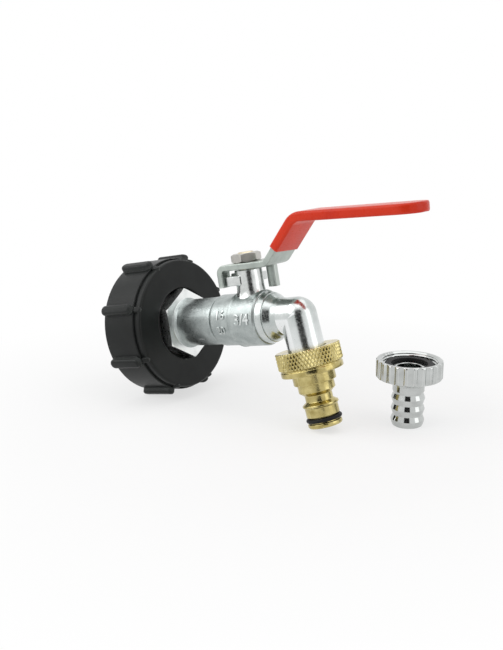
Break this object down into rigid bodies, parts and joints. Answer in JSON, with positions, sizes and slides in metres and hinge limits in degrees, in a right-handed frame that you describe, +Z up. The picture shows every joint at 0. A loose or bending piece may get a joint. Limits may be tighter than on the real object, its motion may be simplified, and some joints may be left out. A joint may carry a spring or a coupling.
{
  "type": "ibc tank valve",
  "caption": "Quarter-turn ball tap with a black coarse-thread tank coupling, red lever, angled spout, brass hose connector and a separate chromed hose tail.",
  "frame": {"origin": "middle of the whole set's footprint, on the table that it lies on", "axes": "+Z up from the table; +X horizontal, from the coupling towards the spout; +Y away from the picture's viewer"},
  "size_m": [0.1664, 0.081, 0.1126],
  "materials": {
    "black_plastic": "moulded, soft sheen",
    "black_rubber": "moulded rubber",
    "plated_cast_body": "satin plated casting",
    "plated_spout": "polished plating",
    "turned_brass": "bright turned and knurled",
    "plated_ball": "polished",
    "white_seat": "low-friction plastic",
    "stem_brass": "turned",
    "zinc_steel": "zinc plated strip",
    "nut_steel": "plain nut",
    "red_sleeve": "dipped soft plastic",
    "bright_chrome": "bright plating"
  },
  "bodies": {
    "valve": {"coupling": "black_plastic", "coupling_gasket": "black_rubber", "inlet_seal": "black_rubber", "valve_body": "plated_cast_body", "seat_inlet": "white_seat", "seat_outlet": "white_seat", "stem_thrust_washer": "white_seat", "spout": "plated_spout", "body_seal": "black_rubber", "tap_connector": "turned_brass", "connector_washer": "black_rubber", "nipple_o_ring": "black_rubber", "hose_tail": "bright_chrome", "union_washer": "black_rubber"},
    "lever": {"ball": "plated_ball", "stem": "stem_brass", "stem_o_rings": "black_rubber", "stem_nut": "nut_steel", "lever": "zinc_steel", "lever_sleeve": "red_sleeve"},
    "union_nut": {"union_nut": "bright_chrome"}
  },
  "joints": [
    {"name": "lever_turn", "type": "hinge", "parent": "valve", "child": "lever", "pos_m": [-0.00859, -0.00528, 0.06006], "axis": [-0.1985, 0, 0.9801], "range_deg": [-90, 0]},
    {"name": "union_nut_spin", "type": "hinge", "parent": "valve", "child": "union_nut", "pos_m": [0.06287, 0.02462, 0.028], "axis": [0, 0, 1], "continuous": true}
  ]
}
